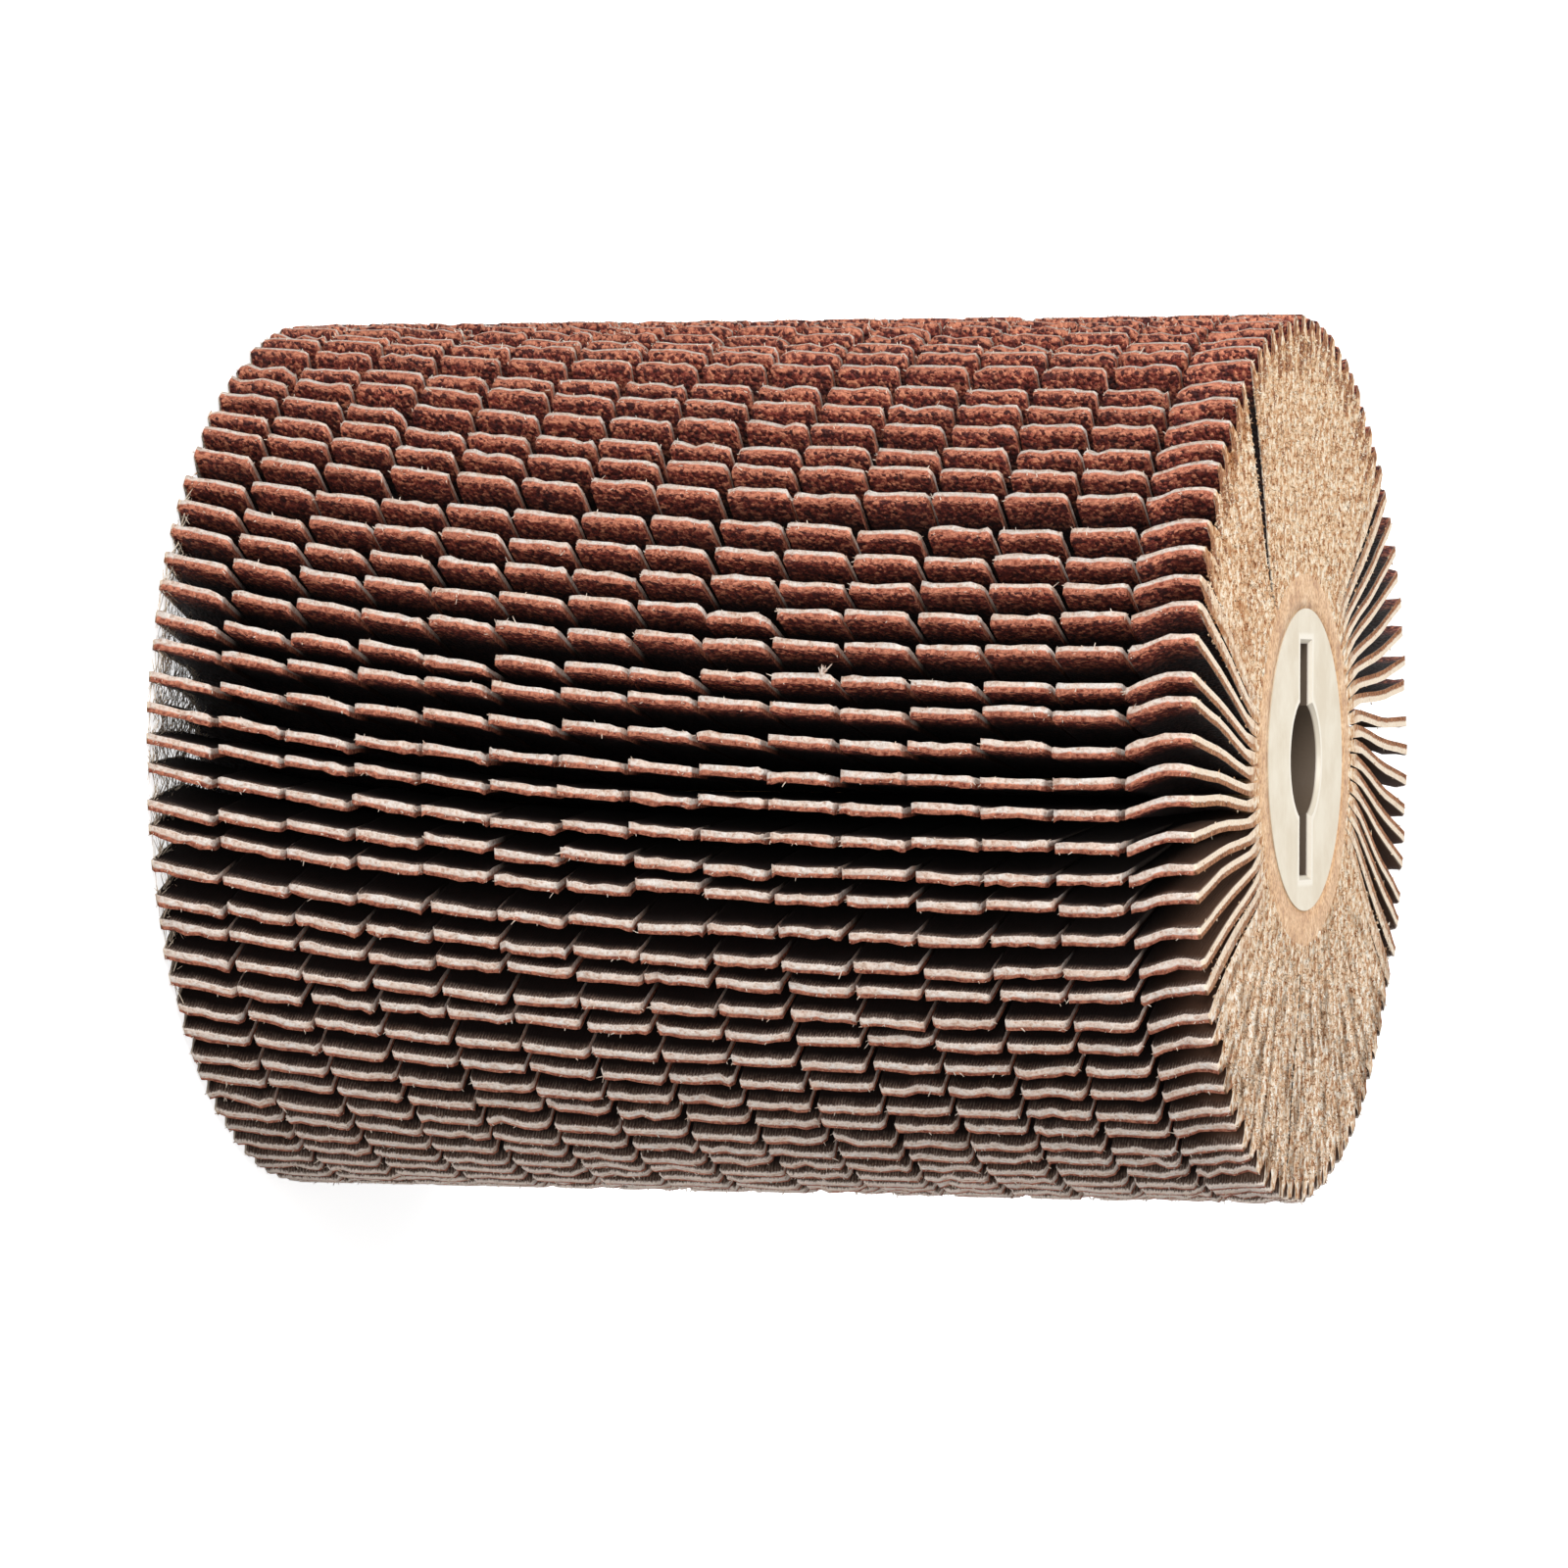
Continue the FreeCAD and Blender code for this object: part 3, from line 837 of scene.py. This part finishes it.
def add_flap_faces(parts, grit, back, slit_row):
    """Faces of one flap, from the numbers of its points on the grit side and on the cloth side."""
    parts.add_quads(grit[:-1, :, :-1], grit[:-1, :, 1:], grit[1:, :, 1:], grit[1:, :, :-1], GRIT)
    parts.add_quads(back[:-1, :, :-1], back[1:, :, :-1], back[1:, :, 1:], back[:-1, :, 1:], BACKING)
    parts.add_quads(grit[-1, :, :-1], grit[-1, :, 1:], back[-1, :, 1:], back[-1, :, :-1], EDGE)
    parts.add_quads(grit[0, :, :-1], back[0, :, :-1], back[0, :, 1:], grit[0, :, 1:], EDGE)
    slits = [(side[slit_row:, 1:, 0], side[slit_row:, :-1, -1]) for side in (grit, back)]
    add_side_faces(parts, *slits, rounded=True)
    ends = [(side[:, 0, 0], side[:, -1, -1]) for side in (grit, back)]
    add_side_faces(parts, *ends, rounded=False)


def make_flap(parts, random, number):
    """Add one slashed flap to a piece's mesh."""
    rows, slit_row, radius, angle, height = flap_surface(random, number)
    near_rim = ease(rows, WEAR_START, RIM_RADIUS)[:, None, None]
    radius = radius + near_rim * rim_wear(random)[None]
    turn = (number * PITCH + angle) * DEGREE
    centre = np.stack([radius * np.cos(turn), radius * np.sin(turn), height], axis=-1)
    along = np.gradient(centre, axis=0)
    along[..., 2] = 0.0
    normal = quarter_turn(unit(along))
    half_back = CLOTH_THICKNESS / 2 * (1.0 + near_rim * random.normal(*RIM_SWELLING, radius.shape))
    lumps = random.normal(0.0, GRIT_LUMPS, radius.shape) * ease(radius, *LUMP_RADII)
    half_grit = half_back + lumps
    fill = end_fill(number)
    end = fray_ends(random, number, fill, rows, centre, (half_grit, half_back))

    # The columns on both sides of a slit share their points up to the slit's inner end.
    shared = slice(0, slit_row + 1)
    for values in (half_grit, half_back):
        values[shared, 1:, 0] = values[shared, :-1, -1]
    depth = RIM_RADIUS - np.broadcast_to(rows[:, None, None], radius.shape)
    grit_points = keep_inside(centre + normal * half_grit[..., None])
    back_points = keep_inside(centre - normal * half_back[..., None])
    grit = parts.add_points(grit_points, 1.0, depth, end)
    back = parts.add_points(back_points, 0.0, depth, end)
    for side in (grit, back):
        side[shared, 1:, 0] = side[shared, :-1, -1]
    add_flap_faces(parts, grit, back, slit_row)

    add_rim_fibres(parts, random, grit_points[-1], back_points[-1])
    if number == TORN_FLAP:
        add_torn_tuft(parts, random, back_points[-1])
    fibres = int(END_FIBRES * (OPEN_FIBRES + (1.0 - OPEN_FIBRES) * fill))
    add_end_fibres(parts, random, fibres, grit_points[:, 0, 0], back_points[:, 0, 0], -1.0)
    add_end_fibres(parts, random, fibres, grit_points[:, -1, -1], back_points[:, -1, -1], 1.0)
    add_loose_threads(parts, random, int(LOOSE_THREADS * (1.0 - fill)), centre[:, 0, 0])


def add_fibres(parts, starts, tips, widths, end):
    """Loose threads, each a three-sided prism that narrows to its tip."""
    run = tips - starts
    aside = unit(np.cross(run, np.array([0.31, 0.54, 0.78])))
    other = unit(np.cross(run, aside))
    rings = []
    for centre, narrow in ((starts, 1.0), (tips, TIP_WIDTH)):
        corners = []
        for corner in range(3):
            turn = corner * 2 * math.pi / 3
            offset = aside * math.cos(turn) + other * math.sin(turn)
            corners.append(centre + offset * (widths * narrow / 2)[:, None])
        corners = np.stack(corners, axis=1)
        corners[..., 2] = np.clip(corners[..., 2], FACE_MARGIN, WHEEL_LENGTH - FACE_MARGIN)
        rings.append(parts.add_points(corners, 0.1, 0.0, end))
    root, tip = rings
    for corner in range(3):
        following = (corner + 1) % 3
        parts.add_quads(root[:, corner], root[:, following], tip[:, following], tip[:, corner], EDGE)


def add_torn_tuft(parts, random, rim):
    """A small torn tuft of cotton that stands on the rim near the corner of one strip."""
    point = rim[TORN_STRIP, TORN_COLUMN]
    outward = away_from_axis(point)
    clockwise = -quarter_turn(outward)
    starts = point + random.normal(0.0, 0.13, (TORN_FIBRES, 3))
    run = clockwise * 0.75 + outward * 0.30 + np.array([0.0, 0.0, 0.50])
    run = run + random.normal(0.0, 0.28, (TORN_FIBRES, 3))
    tips = starts + run * random.uniform(*TORN_LENGTHS, TORN_FIBRES)[:, None]
    add_fibres(parts, starts, tips, random.uniform(*TORN_WIDTHS, TORN_FIBRES), 0.0)


def add_rim_fibres(parts, random, grit_rim, back_rim):
    """Cotton ends that stand out of the rim of each strip."""
    count = RIM_FIBRES * STRIPS
    strip = np.arange(count) % STRIPS
    place = random.uniform(0.0, len(STRIP_COLUMNS) - 1.001, count)
    column = place.astype(int)
    share = (place - column)[:, None]
    across = random.uniform(0.05, 0.95, count)[:, None]
    low = blend(back_rim[strip, column], grit_rim[strip, column], across)
    high = blend(back_rim[strip, column + 1], grit_rim[strip, column + 1], across)
    starts = blend(low, high, share)
    outward = away_from_axis(starts)
    run = outward * random.uniform(-0.1, 0.7, count)[:, None]
    run = run + quarter_turn(outward) * random.normal(0.0, 0.6, count)[:, None]
    run = unit(run + np.array([0.0, 0.0, 1.0]) * random.normal(0.0, 0.8, count)[:, None])
    lengths = random.uniform(*RIM_FIBRE_LENGTHS, count)
    lengths = lengths * np.where(random.random(count) < LONG_SHARE, LONG_TIMES, 1.0)
    tips = starts + run * lengths[:, None]
    add_fibres(parts, starts - outward * RIM_ROOTING, tips, random.uniform(*RIM_FIBRE_WIDTHS, count), 0.1)


def rows_below(reach):
    """The mesh row at or below each radius, and the share of the way from there to the next row."""
    rows, _ = flap_rows()
    place = np.interp(reach, rows, np.arange(len(rows)))
    row = np.minimum(place.astype(int), len(rows) - 2)
    return row, (place - row)[:, None]


def add_end_fibres(parts, random, count, grit_line, back_line, outward):
    """Cotton ends that lie across one end edge of a flap."""
    low_radius, high_radius = END_FIBRE_RADII
    row, share = rows_below(np.sqrt(random.uniform(low_radius ** 2, high_radius ** 2, count)))
    across = random.uniform(-0.15, 1.15, count)[:, None]
    low = blend(back_line[row], grit_line[row], across)
    high = blend(back_line[row + 1], grit_line[row + 1], across)
    starts = blend(low, high, share)
    angle = random.uniform(0.0, 2 * math.pi, count)
    lying = random.uniform(0.3, 1.0, count)
    rising = outward * random.uniform(0.0, 0.95, count)
    run = np.stack([lying * np.cos(angle), lying * np.sin(angle), rising], axis=-1)
    tips = starts + run * random.uniform(*END_FIBRE_LENGTHS, count)[:, None]
    starts[:, 2] -= outward * END_ROOTING
    add_fibres(parts, starts, tips, random.uniform(*END_FIBRE_WIDTHS, count), 1.0)


def add_loose_threads(parts, random, count, line):
    """Long threads of torn cotton that hang between the open flaps at the lower end."""
    if count == 0:
        return
    row, share = rows_below(random.uniform(*THREAD_RADII, count))
    starts = blend(line[row], line[row + 1], share)
    outward = away_from_axis(starts)
    run = outward * random.normal(0.35, 0.45, count)[:, None]
    run = unit(run + quarter_turn(outward) * random.normal(0.0, 0.9, count)[:, None])
    tips = keep_inside(starts + run * random.uniform(*THREAD_LENGTHS, count)[:, None])
    tips[:, 2] += random.uniform(0.0, 1.6, count)
    add_fibres(parts, starts, tips, random.uniform(*THREAD_WIDTHS, count), 0.3)


def make_flaps(materials):
    """Slashed flaps, two to a piece, each piece standing for one CAD node."""
    random = np.random.default_rng(SEED)
    for first in range(0, FLAP_COUNT, FLAPS_PER_NODE):
        parts = MeshParts()
        for number in range(first, first + FLAPS_PER_NODE):
            make_flap(parts, random, number)
        node = f"flap_pair_{first // FLAPS_PER_NODE + 1:02d}"
        piece = parts.build(f"slashed_{node}", materials)
        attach(piece, "root")
        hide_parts(node)


# Section of the resin ring at an end face, from the core outwards: radius, depth below the face, and share
# of the uneven creep between the flap roots.
RESIN_SECTION = (
    (CORE_RADIUS, 0.12, 0.0),
    (18.4, 0.03, 0.0),
    (20.3, 0.06, 0.2),
    (21.5, 0.20, 0.8),
    (22.2, 0.60, 1.0),
    (22.3, 1.40, 1.0),
    (21.6, 2.80, 0.6),
    (20.6, 6.00, 0.0),
)

# Height of the waves of that creep and spread of its unevenness, in millimetres.
CREEP_WAVES = 0.40
CREEP_UNEVENNESS = 0.24

# Points round the resin ring for each flap, and the depth below the rim that is stored on its mesh.
RING_POINTS = 4
RESIN_DEPTH = 30.0


def make_resin(material):
    """Resin ring whose end faces creep a little way out between the flap roots."""
    random = np.random.default_rng(SEED + 1)
    turns = FLAP_COUNT * RING_POINTS
    theta = np.arange(turns) / turns * 2 * np.pi
    waves = CREEP_WAVES * np.cos(theta * FLAP_COUNT + np.pi)
    creep = waves + random.normal(0.0, CREEP_UNEVENNESS, turns)
    profile = [(radius, WHEEL_LENGTH - below, share) for radius, below, share in RESIN_SECTION]
    profile += reversed(RESIN_SECTION)
    parts = MeshParts()
    rings = []
    for radius, height, share in profile:
        r = radius + share * creep
        ring = np.stack([r * np.cos(theta), r * np.sin(theta), np.full(turns, height)], axis=-1)
        rings.append(parts.add_points(ring, 0.0, RESIN_DEPTH, 0.0))
    for ring, following in zip(rings, rings[1:] + rings[:1]):
        parts.add_quads(ring, following, np.roll(following, -1), np.roll(ring, -1), 0)
    piece = parts.build("resin_bond_cast", [material])
    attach(piece, "root")
    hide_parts("resin_bond")


# The floor is this wide and lies this little below the wheel, in metres, so that the two surfaces do not
# coincide.
FLOOR_SIZE = 6.0
FLOOR_DROP = -0.05 * MM

# Glow that lifts the floor to white where it is seen directly, and the light that the surroundings give.
FLOOR_GLOW = 0.78
WORLD_LIGHT = 0.17

# Square soft lights: name, position, size in metres and power in watts; then the point that they face.
LIGHTS = (
    ("key", (-0.60, -0.72, 0.35), 0.45, 4.5),
    ("front", (0.05, -0.95, 0.30), 0.35, 1.25),
    ("low", (0.65, -0.65, 0.20), 0.45, 1.1),
    ("end", (-0.20, -0.20, 1.00), 0.40, 8.0),
)
LIGHT_TARGET = Vector((0.0, 0.0, 0.06))


def make_floor():
    """Pale floor that reads as white to the camera and still takes the wheel's shadow."""
    bpy.ops.mesh.primitive_plane_add(size=FLOOR_SIZE, location=(0.0, 0.0, FLOOR_DROP))
    floor = bpy.context.object
    floor.name = "floor"
    material, nodes, links, shader = new_material("floor_white")
    shader.inputs["Base Color"].default_value = (0.85, 0.85, 0.85, 1.0)
    shader.inputs["Roughness"].default_value = 0.9
    shader.inputs["Specular IOR Level"].default_value = 0.1
    glow = nodes.new("ShaderNodeEmission")
    add = nodes.new("ShaderNodeAddShader")
    output = next(node for node in nodes if node.type == "OUTPUT_MATERIAL")
    links.new(shader.outputs["BSDF"], add.inputs[0])
    links.new(glow.outputs["Emission"], add.inputs[1])
    links.new(add.outputs["Shader"], output.inputs["Surface"])
    strength = calculate(nodes, links, "MULTIPLY", seen_directly(nodes, links), FLOOR_GLOW)
    links.new(strength, glow.inputs["Strength"])
    floor.data.materials.append(material)


def seen_directly(nodes, links):
    """1 for rays that show the background: from the camera, or by way of gloss or glass."""
    path = nodes.new("ShaderNodeLightPath")
    direct = calculate(nodes, links, "MAXIMUM", path.outputs["Is Camera Ray"], path.outputs["Is Glossy Ray"])
    return calculate(nodes, links, "MAXIMUM", direct, path.outputs["Is Transmission Ray"])


def make_world():
    """Soft grey surroundings for the light, and white behind the object."""
    world = bpy.data.worlds.new("studio")
    bpy.context.scene.world = world
    world.use_nodes = True
    nodes = world.node_tree.nodes
    links = world.node_tree.links
    nodes.clear()
    output = nodes.new("ShaderNodeOutputWorld")
    background = nodes.new("ShaderNodeBackground")
    background.inputs["Color"].default_value = (1.0, 1.0, 1.0, 1.0)
    strength = remap(nodes, links, seen_directly(nodes, links), 0.0, 1.0, WORLD_LIGHT, 1.0)
    links.new(strength, background.inputs["Strength"])
    links.new(background.outputs["Background"], output.inputs["Surface"])


def make_lights():
    """Key light from the photograph's upper front, a fill from its lower front and one on the end face."""
    for name, position, size, power in LIGHTS:
        data = bpy.data.lights.new(name, "AREA")
        data.size = size
        data.energy = power
        light = bpy.data.objects.new(name, data)
        bpy.context.scene.collection.objects.link(light)
        light.location = position
        light.rotation_mode = "QUATERNION"
        light.rotation_quaternion = (LIGHT_TARGET - Vector(position)).to_track_quat("-Z", "Y")


def make_camera():
    """Camera at the photograph's viewing angle, rolled so that the wheel's upper end points right."""
    azimuth = 17.56 * DEGREE
    elevation = 0.46 * DEGREE
    roll = 0.27 * DEGREE
    distance = 0.9588
    target = Vector((0.00317, 0.0, 0.05854))
    picture_up = Vector((-1.0, 0.0, 0.0))
    back = Vector((
        -math.sin(elevation),
        -math.cos(azimuth) * math.cos(elevation),
        math.sin(azimuth) * math.cos(elevation),
    ))
    right = (-back).cross(picture_up).normalized()
    up = right.cross(-back)
    rolled_right = right * math.cos(roll) + up * math.sin(roll)
    rolled_up = up * math.cos(roll) - right * math.sin(roll)
    data = bpy.data.cameras.new("camera")
    data.lens = 192.2
    data.sensor_width = 36.0
    data.clip_start = 0.01
    data.clip_end = 20.0
    camera = bpy.data.objects.new("camera", data)
    bpy.context.scene.collection.objects.link(camera)
    turn = Matrix((rolled_right, rolled_up, back)).transposed().to_4x4()
    camera.matrix_world = Matrix.Translation(target + back * distance) @ turn
    bpy.context.scene.camera = camera


def main():
    """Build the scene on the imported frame."""
    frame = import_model()
    bpy.context.scene.view_settings.view_transform = "Standard"
    make_flaps([grit_material(), backing_material(), edge_material()])
    make_resin(resin_material())
    core = frame["nodes"]["core"]
    core.data.materials.clear()
    core.data.materials.append(core_material())
    make_floor()
    make_world()
    make_lights()
    make_camera()


main()
